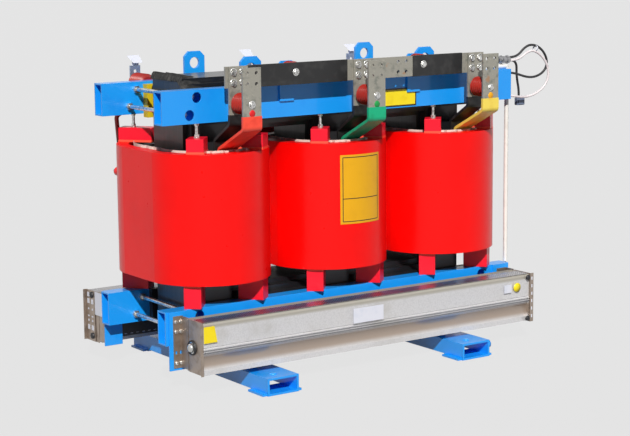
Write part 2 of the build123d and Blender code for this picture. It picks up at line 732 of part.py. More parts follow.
def hv_leads():
    """Insulated rods from the top terminal of each coil to its post insulator."""
    rods = []
    for x, post_x in zip(LIMB_X, HV_TERMINAL_X):
        start = (x + TERMINAL_OFFSET, TERMINAL_Y, TERMINAL_Z[1])
        out = (start[0], TERMINAL_Y + LEAD_OUT, TERMINAL_Z[1])
        rise = (start[0] - LEAD_LEAN, TERMINAL_Y + LEAD_OUT, UPPER_CLAMP_Z[0] - LEAD_TURN)
        under = (post_x, HV_TAB_Y + HV_TAB[1] / 2, HV_TAB_Z[0] - LEAD_TURN)
        end = (post_x, HV_TAB_Y + HV_TAB[1] / 2, HV_TAB_Z[0])
        rods.append(swept_rod([start, out, rise, under, end], HV_ROD_RADIUS, LEAD_BEND))
    return group(rods)


def delta_links():
    """Insulated rods that close the delta between neighbouring coils."""
    rods = []
    y = TERMINAL_Y
    for left, right in ((0, 1), (1, 2)):
        start = (LIMB_X[left] + TERMINAL_OFFSET, y, TERMINAL_Z[0])
        out = (start[0], y + DELTA_OUT, TERMINAL_Z[0])
        across = (LIMB_X[right] + DELTA_OFFSET, y + DELTA_OUT, TERMINAL_Z[0])
        rise = (LIMB_X[right] + DELTA_OFFSET, y + DELTA_OUT, DELTA_Z)
        back = (LIMB_X[right] + DELTA_OFFSET, terminal_face(DELTA_OFFSET) + STUD_LENGTH, DELTA_Z)
        rods.append(swept_rod([start, out, across, rise, back], HV_ROD_RADIUS, LEAD_BEND))
    return group(rods)


# ---- fans ------------------------------------------------------------------------------------------
def fan_front_path():
    """The centre line of the front sheet: lid, tall panel, three ridges, hollow band, lip."""
    half = FAN_SHEET / 2
    front = FAN_FRONT + half
    top = FAN_Z[1] - half
    bottom = FAN_Z[0] + half
    lid = Line((FAN_FRONT + FAN_LID_DEPTH, top), (front + 8, top))
    shoulder = Line(lid @ 1, (front, top - 10))
    panel = Line(shoulder @ 1, (front, FAN_RIDGE_Z))
    edges = [lid, shoulder, panel]
    for ridge in range(3):
        z = FAN_RIDGE_Z - FAN_RIDGE * ridge
        edges.append(ThreePointArc((front, z), (front + 4, z - FAN_RIDGE / 2), (front, z - FAN_RIDGE)))
    hollow = FAN_RIDGE_Z - 3 * FAN_RIDGE
    edges.append(ThreePointArc((front, hollow), (front + 14, 138), (front + 4, FAN_LIP_Z)))
    edges.append(Line((front + 4, FAN_LIP_Z), (front + 2, bottom)))
    edges.append(Line((front + 2, bottom), (FAN_BACK - 10, bottom)))
    return edges


def sheet_section(edges):
    """A closed section of constant thickness along a chain of edges."""
    chain = Wire(edges)
    return trace(chain, FAN_SHEET)


def fan_housing():
    """A fan's folded sheet housing with its slotted lid and its end plates."""
    length = FAN_X[1] - FAN_X[0]
    section = Plane.YZ * sheet_section(fan_front_path())
    shell = Pos(FAN_X[0], 0, 0) * extrude(section, length)
    lid_y = (FAN_FRONT + 14, FAN_FRONT + FAN_LID_DEPTH - 6)
    count = int((length - 60) // FAN_SLOT_PITCH)
    start = (FAN_X[0] + FAN_X[1] - (count - 1) * FAN_SLOT_PITCH) / 2
    cutters = []
    for index in range(count):
        x = start + index * FAN_SLOT_PITCH
        slot_x = (x - FAN_SLOT_WIDTH / 2, x + FAN_SLOT_WIDTH / 2)
        cutters.append(block(slot_x, lid_y, (FAN_Z[1] - 2 * FAN_SHEET, FAN_Z[1] + FAN_SHEET)))
    shell = shell - cutters
    for x in (FAN_X[0], FAN_X[1] - FAN_SHEET):
        plate = block((x, x + FAN_SHEET), (FAN_FRONT, FAN_BACK), FAN_Z)
        plate -= rod(SHAFT_RADIUS + SHAFT_CLEARANCE, (x - 1, *FAN_AXIS), "x", FAN_SHEET + 2)
        shell += plate
    back = block(FAN_X, (FAN_BACK - FAN_SHEET, FAN_BACK), (FAN_Z[0], FAN_Z[0] + 22))
    rail_top = block(FAN_X, (FAN_BACK - FAN_SHEET, FAN_BACK), (FAN_Z[1] - 22, FAN_Z[1]))
    return shell + back + rail_top


def fan_impeller():
    """A cross-flow impeller: thin discs, straight blades all round, and its shaft."""
    y, z = FAN_AXIS
    x0 = FAN_X[0] + IMPELLER_END_GAP
    x1 = FAN_X[1] - MOTOR_LENGTH - 2 * IMPELLER_END_GAP
    rotor = rod(SHAFT_RADIUS, (FAN_X[0], 0, 0), "x", FAN_X[1] - FAN_X[0])
    pitch = (x1 - x0 - IMPELLER_DISC) / (IMPELLER_DISCS - 1)
    for disc in range(IMPELLER_DISCS):
        rotor += rod(IMPELLER_RADIUS, (x0 + disc * pitch, 0, 0), "x", IMPELLER_DISC)
    blade_depth = 13.0
    for blade in range(IMPELLER_BLADES):
        angle = 360 * blade / IMPELLER_BLADES
        strip = block((x0, x1), (-0.7, 0.7), (0, blade_depth))
        strip = Pos(0, 0, IMPELLER_RADIUS - blade_depth - 1) * Rot(-25, 0, 0) * strip
        rotor += Rot(angle, 0, 0) * strip
    return Pos(0, y, z) * rotor


def fan_motor():
    """The motor at the fan's far end, with a clear bore for the shaft."""
    x = FAN_X[1] - FAN_SHEET - MOTOR_LENGTH
    body = rod(MOTOR_RADIUS, (x, *FAN_AXIS), "x", MOTOR_LENGTH)
    return body - rod(SHAFT_RADIUS + SHAFT_CLEARANCE, (x, *FAN_AXIS), "x", MOTOR_LENGTH)


def bearing_cap():
    """The domed cap over the bearing at the fan's near end."""
    y, z = FAN_AXIS
    dome = Rot(0, -90, 0) * Sphere(CAP_RADIUS * 0.8, arc_size1=0, align=UP)
    collar = rod(CAP_RADIUS, (-6, 0, 0), "x", 6)
    cap = collar + Pos(-6, 0, 0) * dome
    cap -= rod(SHAFT_RADIUS + 1, (-4, 0, 0), "x", 4)
    return Pos(FAN_X[0], y, z) * cap


def turned(piece):
    """The rear fan is the front one, turned half a turn about the middle."""
    return Rot(0, 0, 180) * piece


def fan_bearings():
    return group([bearing_cap(), turned(bearing_cap())])


def fan_motors():
    return group([fan_motor(), turned(fan_motor())])


def hanger(mirror):
    """A blue plate from a lower clamp down to one end of a fan."""
    y = (-LOWER_CLAMP_FRONT - HANGER_WALL, -LOWER_CLAMP_FRONT)
    x = sorted((mirror * HANGER_X[0], mirror * HANGER_X[1]))
    return block(x, y, (HANGER_BOTTOM, LOWER_CLAMP_Z[1]))


def fan_hangers():
    pieces = [hanger(1), hanger(-1)]
    return group(pieces + [turned(piece) for piece in pieces])


def strap(mirror, end):
    """A slotted strap on a hanger, with a return flange that holds the fan's end plate."""
    face = -LOWER_CLAMP_FRONT - HANGER_WALL
    x = sorted((mirror * STRAP_X[0], mirror * STRAP_X[1]))
    plate = block(x, (face - STRAP_WALL, face), STRAP_Z)
    middle = sum(x) / 2
    for z in STRAP_ROWS:
        for side in (-1, 1):
            slot = Pos(middle + side * STRAP_SPREAD, face, z) * Rot(90, 0, 0) * \
                extrude(SlotOverall(STRAP_SLOT[0], STRAP_SLOT[1], rotation=90), 3 * STRAP_WALL, both=True)
            plate -= slot
    inner = (end - STRAP_WALL, end) if mirror > 0 else (end, end + STRAP_WALL)
    near = x[1] if mirror > 0 else x[0]
    bridge_x = sorted((near, inner[0] if mirror > 0 else inner[1]))
    if bridge_x[1] - bridge_x[0] > 0.01:
        plate += block(bridge_x, (face - STRAP_WALL, face), STRAP_Z)
    web = block(inner, (FAN_BACK - STRAP_WEB, face), STRAP_Z)
    return plate + web


def fan_straps():
    near = strap(1, FAN_X[0])
    far = strap(-1, FAN_X[1])
    return group([near, far, turned(near), turned(far)])


# ---- wiring ----------------------------------------------------------------------------------------
CONDUIT_X = CLAMP_HALF_LENGTH + CONDUIT_RADIUS + CONDUIT_GAP
CONDUIT_TOP = UPPER_CLAMP_Z[1] + CONDUIT_RADIUS + CONDUIT_GAP


def cable_conduit():
    """A plastic tube down the end of the clamps, with an elbow onto the upper one."""
    points = [(CONDUIT_X, CONDUIT_Y, CONDUIT_BOTTOM), (CONDUIT_X, CONDUIT_Y, CONDUIT_TOP),
              (CONDUIT_X - CONDUIT_ARM, CONDUIT_Y, CONDUIT_TOP)]
    return swept_rod(points, CONDUIT_RADIUS, CONDUIT_BEND)


GLAND_Z = CONDUIT_TOP + CONDUIT_RADIUS + GLAND_NUT_RADIUS + CONDUIT_GAP
GLAND_X = (CONDUIT_X - GLAND_SETBACK, CONDUIT_X - GLAND_SETBACK + GLAND_LENGTH)


def cable_gland():
    """The metal gland block that gathers the cables, on a foot on the upper clamp."""
    barrel = rod(GLAND_RADIUS, (GLAND_X[0], CONDUIT_Y, GLAND_Z), "x", GLAND_LENGTH)
    for x in (GLAND_X[0] + 12, GLAND_X[1] - 14):
        barrel += hexagon(GLAND_NUT_RADIUS, (x, CONDUIT_Y, GLAND_Z), "x", 10)
    foot_x = (GLAND_X[0] - 40, GLAND_X[0] + 12)
    foot_y = (CONDUIT_Y + CONDUIT_RADIUS + 3, CONDUIT_Y + CONDUIT_RADIUS + 7)
    barrel += block(foot_x, foot_y, (UPPER_CLAMP_Z[1], GLAND_Z + 6))
    return barrel


def cable(points):
    """A free cable: straight runs joined by arcs as large as the runs allow."""
    vectors = [Vector(*point) for point in points]
    radii = []
    for before, here, after in zip(vectors, vectors[1:], vectors[2:]):
        turn = (here - before).get_angle(after - here)
        shorter = min((here - before).length, (after - here).length)
        radii.append(0.45 * shorter / tan(radians(turn) / 2))
    path = FilletPolyline(*points, radius=radii)
    section = Plane(path @ 0, z_dir=path % 0) * Circle(CABLE_RADIUS)
    print("cable radii", [round(r) for r in radii], "length", round(path.length))
    return sweep(section, path=path)


GLAND_FACE = GLAND_X[1] + CABLE_GAP
CABLE_CIRCLE = 8.5
# where the three cables leave the gland
BLACK_EXIT = (GLAND_FACE, CONDUIT_Y, GLAND_Z + CABLE_CIRCLE)
WHITE_EXIT = (GLAND_FACE, CONDUIT_Y - 7.5, GLAND_Z - 4)
DROP_EXIT = (GLAND_FACE, CONDUIT_Y + 7.5, GLAND_Z - 4)
CONNECTOR_X = (914.0, 956.0)
CONNECTOR_Y = (-216.0, -200.0)
CONNECTOR_Z = (974.0, 1006.0)
CONNECTOR_ENTRY = 930.0
CONNECTOR_MIDDLE = sum(CONNECTOR_Y) / 2

# points chosen along each cable's route
BLACK_LOOP = [BLACK_EXIT, (890, -222, BLACK_EXIT[2]), (916, -225, 1192), (936, -229, 1214), (966, -233, 1230),
              (1004, -237, 1224), (1040, -239, 1198), (1062, -238, 1160), (1058, -235, 1124),
              (1030, -232, 1100), (990, -231, 1090), (948, -233, 1094), (906, -238, 1106),
              (866, -243, 1116), (832, -244, 1119)]
WHITE_LOOP = [WHITE_EXIT, (890, WHITE_EXIT[1], WHITE_EXIT[2]), (918, -234, 1178), (945, -239, 1198),
              (975, -243, 1206), (1010, -247, 1190), (1044, -249, 1158), (1062, -248, 1114),
              (1058, -246, 1074), (1034, -243, 1042), (994, -241, 1020), (950, -240, 1010),
              (908, -242, 1012), (866, -244, 1019), (832, -244, 1022)]
DROP = [DROP_EXIT, (892, DROP_EXIT[1], DROP_EXIT[2]), (914, -211, 1148), (916, -208, 1112), (921, -208, 1076),
        (CONNECTOR_ENTRY, CONNECTOR_MIDDLE, 1040), (CONNECTOR_ENTRY, CONNECTOR_MIDDLE, CONNECTOR_Z[1] + CABLE_GAP)]
FAN_FEED = [(CONDUIT_X, CONDUIT_Y, CONDUIT_BOTTOM - CABLE_GAP), (CONDUIT_X, CONDUIT_Y, 290), (858, -240, 272),
            (866, -272, 264), (868, -306, 262), (862, -334, 260), (844, -350, 258),
            (FAN_X[1] + CABLE_GAP, -350, 258)]


def drop_connector():
    """The plug on the end of the hanging cable."""
    body = block(CONNECTOR_X, CONNECTOR_Y, CONNECTOR_Z)
    body = fillet(body.edges().filter_by(Axis.Y), 4)
    key = block((CONNECTOR_X[0] + 8, CONNECTOR_X[1] - 8), (CONNECTOR_Y[0] - 3, CONNECTOR_Y[0]),
                (CONNECTOR_Z[0] + 4, CONNECTOR_Z[1] - 10))
    return body + key


def write(name, solid):
    solid.label = name
    export_step(solid, os.path.join("parts", name + ".step"))


def main():
    os.makedirs("parts", exist_ok=True)
    sides = ("left", "centre", "right")
    for phase, side in enumerate(sides):
        write("core_limb_" + side, core_limb(LIMB_X[phase]))
        write("lv_winding_" + side, lv_winding(LIMB_X[phase]))
        write("hv_coil_" + side, hv_coil(LIMB_X[phase]))
        write("phase_bar_" + side, phase_bar(phase))
        write("phase_sleeve_" + side, phase_sleeve(phase))
        write("neutral_lead_" + side, neutral_lead(phase))
    write("core_yoke_upper", core_yoke(UPPER_YOKE_Z))
    write("core_yoke_lower", core_yoke(LOWER_YOKE_Z))
    write("yoke_boards", yoke_boards())
    for name, side in (("front", -1), ("rear", 1)):
        write("upper_clamp_" + name, upper_clamp(side))
        write("lower_clamp_" + name, clamp(LOWER_CLAMP_FACE, LOWER_CLAMP_Z, side))
    write("tie_bolts_upper", tie_bolts(UPPER_CLAMP_FACE, UPPER_CLAMP_MIDDLE))
    write("tie_bolts_lower", tie_bolts(LOWER_CLAMP_FACE, LOWER_CLAMP_MIDDLE))
    write("lifting_lugs", lifting_lugs())
    write("rail_left", rail(RAIL_X[0]))
    write("rail_right", rail(RAIL_X[1]))
    write("yoke_pads", yoke_pads())
    write("duct_spacers", duct_spacers())
    write("upper_blocks", upper_blocks())
    write("lower_blocks", lower_blocks())
    write("jack_bolts", jack_bolts())
    write("neutral_sleeves", neutral_sleeves())
    write("neutral_busbar", neutral_busbar())
    write("busbar_bolts", busbar_bolts())
    write("phase_insulators", phase_insulators())
    write("neutral_brackets", neutral_brackets())
    write("neutral_insulators", neutral_insulators())
    write("hv_insulators", hv_insulators())
    write("hv_terminals", hv_terminals())
    write("hv_leads", hv_leads())
    write("delta_links", delta_links())
    write("fan_housing_front", fan_housing())
    write("fan_housing_rear", turned(fan_housing()))
    write("fan_impeller_front", fan_impeller())
    write("fan_impeller_rear", turned(fan_impeller()))
    write("fan_bearings", fan_bearings())
    write("fan_motors", fan_motors())
    write("fan_hangers", fan_hangers())
    write("fan_straps", fan_straps())
    write("cable_conduit", cable_conduit())
    write("cable_gland", cable_gland())
    write("drop_connector", drop_connector())
    write("cable_black", cable(BLACK_LOOP))
    write("cable_white", cable(WHITE_LOOP))
    write("cable_drop", cable(DROP))
    write("cable_fan", cable(FAN_FEED))


main()
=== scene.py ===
"""Looks of the dry type transformer: materials, small pieces, cables, light and camera.

Metres, in the frame of the CAD model: X along the limbs, -Y the low-voltage side, +Z up.
"""
import json
import math
import random

import bmesh
import bpy
from mathutils import Matrix, Vector


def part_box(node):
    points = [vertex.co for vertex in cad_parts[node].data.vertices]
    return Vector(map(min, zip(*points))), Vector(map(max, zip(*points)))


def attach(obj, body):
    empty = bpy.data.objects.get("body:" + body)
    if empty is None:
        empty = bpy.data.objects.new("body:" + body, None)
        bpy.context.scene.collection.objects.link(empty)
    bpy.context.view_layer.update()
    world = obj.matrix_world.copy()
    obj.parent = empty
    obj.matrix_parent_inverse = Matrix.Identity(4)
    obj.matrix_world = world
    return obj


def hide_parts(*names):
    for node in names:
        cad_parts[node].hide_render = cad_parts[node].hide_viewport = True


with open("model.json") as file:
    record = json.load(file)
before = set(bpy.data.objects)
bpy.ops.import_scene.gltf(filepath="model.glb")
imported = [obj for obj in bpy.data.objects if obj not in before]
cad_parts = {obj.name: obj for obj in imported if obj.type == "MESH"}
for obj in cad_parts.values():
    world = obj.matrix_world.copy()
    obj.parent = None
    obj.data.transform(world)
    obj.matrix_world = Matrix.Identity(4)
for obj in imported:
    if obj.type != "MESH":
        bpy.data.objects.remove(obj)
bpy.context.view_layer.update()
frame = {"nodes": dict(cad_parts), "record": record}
ROOT = "transformer"
SIDES = ("left", "centre", "right")
random.seed(7)


# ---- colours ------------------------------------------------------------------
def rgb(red, green, blue):
    """A colour given as 0-255 display values, as linear values."""
    linear = []
    for value in (red, green, blue):
        part = value / 255
        linear.append(part / 12.92 if part <= 0.04045 else ((part + 0.055) / 1.055) ** 2.4)
    return (*linear, 1.0)


# ---- materials ------------------------------------------------------------------
class Shader:
    """A node material that is built up step by step around one Principled shader."""

    def __init__(self, name, color, rough, metal=0.0, coat=0.0, gloss=0.5):
        self.material = bpy.data.materials.new(name)
        self.material.use_nodes = True
        self.tree = self.material.node_tree
        self.bsdf = self.tree.nodes["Principled BSDF"]
        self.bsdf.inputs["Base Color"].default_value = color
        self.bsdf.inputs["Roughness"].default_value = rough
        self.bsdf.inputs["Metallic"].default_value = metal
        self.bsdf.inputs["Coat Weight"].default_value = coat
        self.bsdf.inputs["Coat Roughness"].default_value = 0.06
        self.bsdf.inputs["Specular IOR Level"].default_value = gloss
        self.material.diffuse_color = color
        self.place = self.node("ShaderNodeTexCoord").outputs["Object"]
        self.normal = None

    def node(self, kind):
        return self.tree.nodes.new(kind)

    def link(self, output, socket):
        self.tree.links.new(output, socket)

    def stretched(self, scale):
        """Texture coordinates stretched along the axes."""
        mapping = self.node("ShaderNodeMapping")
        mapping.inputs["Scale"].default_value = scale
        self.link(self.place, mapping.inputs["Vector"])
        return mapping.outputs["Vector"]

    def noise(self, scale, detail=3.0, stretch=None):
        noise = self.node("ShaderNodeTexNoise")
        noise.inputs["Scale"].default_value = scale
        noise.inputs["Detail"].default_value = detail
        self.link(self.stretched(stretch) if stretch else self.place, noise.inputs["Vector"])
        return noise.outputs["Fac"]

    def band(self, value, low, high):
        """A smooth 0-1 step of a value between two limits."""
        step = self.node("ShaderNodeMapRange")
        step.interpolation_type = "SMOOTHSTEP"
        step.inputs["From Min"].default_value = low
        step.inputs["From Max"].default_value = high
        self.link(value, step.inputs["Value"])
        return step.outputs["Result"]

    def axis(self, name):
        """One coordinate of the point that is shaded."""
        split = self.node("ShaderNodeSeparateXYZ")
        self.link(self.place, split.inputs["Vector"])
        return split.outputs[name]

    def math(self, operation, first, second):
        node = self.node("ShaderNodeMath")
        node.operation = operation
        for socket, value in zip(node.inputs, (first, second)):
            if isinstance(value, (int, float)):
                socket.default_value = value
            else:
                self.link(value, socket)
        return node.outputs["Value"]

    def tint(self, mask, color):
        """Blend the base colour toward another one where the mask is 1."""
        mix = self.node("ShaderNodeMix")
        mix.data_type = "RGBA"
        base = self.bsdf.inputs["Base Color"]
        if base.is_linked:
            self.link(base.links[0].from_socket, mix.inputs["A"])
        else:
            mix.inputs["A"].default_value = base.default_value
        mix.inputs["B"].default_value = color
        self.link(mask, mix.inputs["Factor"])
        self.link(mix.outputs["Result"], base)

    def vary(self, socket, mask, low, high):
        """Drive a shader value between two limits with a mask."""
        spread = self.node("ShaderNodeMapRange")
        spread.inputs["To Min"].default_value = low
        spread.inputs["To Max"].default_value = high
        self.link(mask, spread.inputs["Value"])
        self.link(spread.outputs["Result"], self.bsdf.inputs[socket])

    def bump(self, height, strength, distance):
        bump = self.node("ShaderNodeBump")
        bump.inputs["Strength"].default_value = strength
        bump.inputs["Distance"].default_value = distance
        self.link(height, bump.inputs["Height"])
        if self.normal is not None:
            self.link(self.normal, bump.inputs["Normal"])
        self.normal = bump.outputs["Normal"]
        self.link(self.normal, self.bsdf.inputs["Normal"])

    def soft_edges(self, radius):
        """Round the sharp edges in the shading."""
        bevel = self.node("ShaderNodeBevel")
        bevel.samples = 4
        bevel.inputs["Radius"].default_value = radius
        self.normal = bevel.outputs["Normal"]
        self.link(self.normal, self.bsdf.inputs["Normal"])


PAD_LOW = 0.391
PAD_HIGH = 0.906
PAD_BLEND = 0.0005
PAD_ORANGE = rgb(255, 92, 70)


def cast_resin(name, color, deep, coat, pads=False):
    """Cast resin with faint clouds and a slight orange peel; pads adds the blocks' orange pads by the coils."""
    shader = Shader(name, color, 0.3, coat=coat, gloss=0.3)
    shader.soft_edges(0.003)
    shader.tint(shader.band(shader.noise(4.0), 0.45, 0.75), deep)
    if pads:
        height = shader.axis("Z")
        above = shader.band(height, PAD_LOW - PAD_BLEND, PAD_LOW + PAD_BLEND)
        below = shader.band(height, PAD_HIGH + PAD_BLEND, PAD_HIGH - PAD_BLEND)
        shader.tint(shader.math("MULTIPLY", above, below), PAD_ORANGE)
    shader.vary("Roughness", shader.noise(35.0), 0.22, 0.42)
    shader.bump(shader.noise(18.0), 0.10, 0.002)
    shader.bump(shader.noise(260.0), 0.06, 0.0006)
    return shader.material


def gloss_paint(name, color, worn):
    """Sprayed gloss paint with orange peel, dust and a few rubbed places."""
    shader = Shader(name, color, 0.32, coat=0.35)
    shader.soft_edges(0.0015)
    shader.tint(shader.band(shader.noise(9.0, 6.0), 0.55, 0.8), worn)
    shader.vary("Roughness", shader.noise(60.0), 0.26, 0.45)
    shader.bump(shader.noise(320.0), 0.10, 0.0005)
    return shader.material


def moulded(name, color, rough, shade):
    """Plain moulded plastic or shrink sleeve with slight unevenness."""
    shader = Shader(name, color, rough)
    shader.soft_edges(0.001)
    shader.tint(shader.band(shader.noise(25.0, 4.0), 0.45, 0.8), shade)
    shader.vary("Roughness", shader.noise(90.0), rough - 0.08, rough + 0.1)
    shader.bump(shader.noise(140.0), 0.14, 0.0006)
    return shader.material


def plated(name, color, dark, rough, scale=60.0):
    """Plated or mill-finished metal with blotches."""
    shader = Shader(name, color, rough, metal=0.9)
    shader.soft_edges(0.0008)
    shader.tint(shader.band(shader.noise(scale, 6.0), 0.42, 0.7), dark)
    shader.vary("Roughness", shader.noise(scale * 2, 4.0), rough - 0.1, rough + 0.14)
    shader.bump(shader.noise(scale * 5), 0.08, 0.0004)
    return shader.material


def laminated(name):
    """Black varnished sheet edges, stacked along Y, in paler and darker groups."""
    shader = Shader(name, rgb(24, 25, 28), 0.38, coat=0.2)
    sheets = shader.noise(1.0, 2.0, stretch=(0.6, 700.0, 0.6))
    groups = shader.noise(1.0, 2.0, stretch=(0.8, 60.0, 0.8))
    shader.tint(shader.band(sheets, 0.5, 0.75), rgb(58, 58, 60))
    shader.tint(shader.band(groups, 0.52, 0.8), rgb(12, 12, 14))
    shader.vary("Roughness", sheets, 0.25, 0.5)
    shader.bump(sheets, 0.45, 0.001)
    return shader.material


def tinned(name):
    """Tinned copper flat: grey-green mottled skin, with copper showing through in spots."""
    shader = Shader(name, rgb(158, 156, 146), 0.4, metal=0.25)
    shader.soft_edges(0.0008)
    shader.tint(shader.band(shader.noise(45.0, 8.0), 0.5, 0.72), rgb(128, 130, 122))
    shader.tint(shader.band(shader.noise(160.0, 6.0), 0.6, 0.75), rgb(186, 182, 166))
    shader.tint(shader.band(shader.noise(24.0, 4.0), 0.66, 0.78), rgb(168, 132, 104))
    shader.vary("Roughness", shader.noise(70.0), 0.3, 0.55)
    shader.bump(shader.noise(220.0), 0.12, 0.0005)
    return shader.material


FAN_SOFFIT = 0.170
FAN_PANEL_TOP = 0.262
FAN_EDGE_BLEND = 0.012
FAN_LIP_TOP = 0.128
FAN_LIP_FACE = 0.104


def galvanised(name):
    """Galvanised sheet: spangle, brushed lines along X, a dull top band, and a smoother hollow with painted shade
    that makes it darker and browner.
    """
    shader = Shader(name, rgb(214, 214, 216), 0.36, metal=0.3)
    spangle = shader.node("ShaderNodeTexVoronoi")
    spangle.inputs["Scale"].default_value = 160.0
    shader.link(shader.place, spangle.inputs["Vector"])
    height = shader.axis("Z")
    shader.tint(shader.band(spangle.outputs["Distance"], 0.2, 0.9), rgb(204, 204, 206))
    shader.tint(shader.band(shader.noise(6.0, 4.0), 0.5, 0.8), rgb(190, 188, 184))
    shader.tint(shader.band(height, FAN_PANEL_TOP, FAN_PANEL_TOP + FAN_EDGE_BLEND), rgb(176, 172, 162))
    low = shader.band(height, FAN_SOFFIT, FAN_SOFFIT - FAN_EDGE_BLEND)
    lip = shader.band(height, FAN_LIP_TOP, FAN_LIP_FACE)
    # painted shade: the hollow between the lip and the soffit is darkened and browned
    hollow_shade = shader.math("SUBTRACT", low, lip)
    shader.tint(hollow_shade, rgb(164, 150, 138))
    shader.vary("Roughness", low, 0.46, 0.2)
    shader.bump(shader.noise(1.0, 3.0, stretch=(3.0, 500.0, 500.0)), 0.10, 0.0005)
    return shader.material


def screen(name):
    """The fine perforated intake: dark holes in bright sheet."""
    shader = Shader(name, rgb(205, 202, 204), 0.3, metal=0.6)
    rows = shader.node("ShaderNodeTexBrick")
    rows.inputs["Scale"].default_value = 1.0
    rows.inputs["Brick Width"].default_value = 0.012
    rows.inputs["Row Height"].default_value = 0.006
    rows.inputs["Mortar Size"].default_value = 0.0017
    rows.inputs["Mortar Smooth"].default_value = 0.3
    shader.link(shader.place, rows.inputs["Vector"])
    holes = shader.math("SUBTRACT", 1.0, rows.outputs["Fac"])
    shader.tint(holes, rgb(38, 36, 44))
    shader.vary("Metallic", holes, 1.0, 0.4)
    shader.bump(rows.outputs["Fac"], 0.8, 0.001)
    return shader.material


# painted shade: the dark colour given to the boards that lie in shadow
BOARD_PAINTED_SHADE = rgb(22, 26, 34)
BOARD_SPLIT_Z = 0.600
BOARD_BLEND = 0.001


def board(name):
    """Yellow board, with painted shade on the boards on the front and low down, where they stand in shadow."""
    shader = Shader(name, rgb(214, 188, 24), 0.5)
    shader.tint(shader.band(shader.noise(25.0, 4.0), 0.45, 0.8), rgb(186, 160, 16))
    # painted shade on the boards on the front side, below Y = 0
    shader.tint(shader.band(shader.axis("Y"), BOARD_BLEND, -BOARD_BLEND), BOARD_PAINTED_SHADE)
    # painted shade on the boards below BOARD_SPLIT_Z
    shader.tint(shader.band(shader.axis("Z"), BOARD_SPLIT_Z + BOARD_BLEND, BOARD_SPLIT_Z), BOARD_PAINTED_SHADE)
    return shader.material


RED = cast_resin("coil_red", rgb(252, 6, 4), rgb(244, 4, 3), 0.0)
CRIMSON = cast_resin("block_crimson", rgb(246, 26, 50), rgb(232, 18, 44), 0.0, True)
BLUE = gloss_paint("clamp_blue", rgb(22, 158, 252), rgb(16, 148, 246))
MATERIALS = {
    "coil_red": RED,
    "block_crimson": CRIMSON,
    "clamp_blue": BLUE,
    "core_steel": laminated("core_steel"),
    "lv_resin": moulded("lv_resin", rgb(120, 112, 98), 0.5, rgb(82, 76, 66)),
    "tinned_copper": tinned("tinned_copper"),
    "sleeve_orange": moulded("sleeve_orange", rgb(255, 84, 62), 0.42, rgb(236, 66, 48)),
    "sleeve_green": moulded("sleeve_green", rgb(16, 176, 126), 0.42, rgb(10, 150, 104)),
    "sleeve_yellow": moulded("sleeve_yellow", rgb(248, 222, 96), 0.42, rgb(232, 196, 70)),
    "sleeve_black": moulded("sleeve_black", rgb(26, 26, 27), 0.42, rgb(52, 52, 52)),
    "board_yellow": board("board_yellow"),
    "zinc_steel": plated("zinc_steel", rgb(222, 222, 220), rgb(150, 150, 148), 0.26, 120.0),
    "spacer_white": moulded("spacer_white", rgb(232, 214, 204), 0.5, rgb(214, 188, 176)),
    "insulator_red": cast_resin("insulator_red", rgb(170, 38, 28), rgb(134, 28, 22), 0.4),
    "terminal_brass": plated("terminal_brass", rgb(176, 190, 214), rgb(150, 164, 190), 0.4),
    "lead_red": cast_resin("lead_red", rgb(196, 18, 18), rgb(160, 12, 12), 0.4),
    "fan_sheet": galvanised("fan_sheet"),
    "impeller_aluminium": plated("impeller_aluminium", rgb(120, 120, 118), rgb(80, 80, 80), 0.4),
    "cap_chrome": plated("cap_chrome", rgb(214, 214, 212), rgb(170, 170, 168), 0.14, 20.0),
    "motor_black": moulded("motor_black", rgb(28, 28, 30), 0.45, rgb(44, 44, 46)),
    "end_plate": plated("end_plate", rgb(172, 158, 146), rgb(150, 136, 124), 0.4, 30.0),
    "conduit_white": moulded("conduit_white", rgb(242, 240, 234), 0.4, rgb(226, 222, 214)),
    "gland_grey": plated("gland_grey", rgb(168, 168, 170), rgb(120, 120, 122), 0.3),
    "connector_grey": moulded("connector_grey", rgb(106, 118, 142), 0.4, rgb(70, 80, 104)),
    "cable_black": moulded("cable_black", rgb(30, 30, 33), 0.5, rgb(46, 46, 52)),
    "cable_white": moulded("cable_white", rgb(238, 230, 232), 0.4, rgb(214, 204, 208)),
}
SIGN_YELLOW = moulded("sign_yellow", rgb(232, 172, 10), 0.35, rgb(226, 166, 8))
SIGN_BLACK = moulded("sign_black", rgb(22, 20, 16), 0.4, rgb(34, 30, 24))
LABEL_YELLOW = moulded("label_yellow", rgb(250, 226, 30), 0.35, rgb(240, 212, 20))
LABEL_WHITE = moulded("label_white", rgb(226, 229, 240), 0.4, rgb(214, 220, 234))
SCREEN = screen("intake_screen")

for entry in frame["record"]["subparts"]:
    node = frame["nodes"][entry["node"]]
    node.data.materials.clear()
    node.data.materials.append(MATERIALS[entry["material_slot"]])


# ---- building pieces ---------------------------------------------------------------
def add(name, mesh, material, body=ROOT):
    """Put a bmesh into the scene as a piece that rides on a body."""
    data = bpy.data.meshes.new(name)
    mesh.to_mesh(data)
    mesh.free()
    data.materials.append(material)
    piece = bpy.data.objects.new(name, data)
    bpy.context.scene.collection.objects.link(piece)
    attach(piece, body)
    return piece


def plate(mesh, low, high, bevel=0.0):
    """Add a box between two corners, with its edges broken if a bevel is given."""
    made = bmesh.ops.create_cube(mesh, size=1.0)["verts"]
    for vertex in made:
        for axis in range(3):
            vertex.co[axis] = low[axis] if vertex.co[axis] < 0 else high[axis]
    if bevel:
        edges = list({edge for vertex in made for edge in vertex.link_edges})
        bmesh.ops.bevel(mesh, geom=edges, offset=bevel, segments=2, affect="EDGES", profile=0.5)


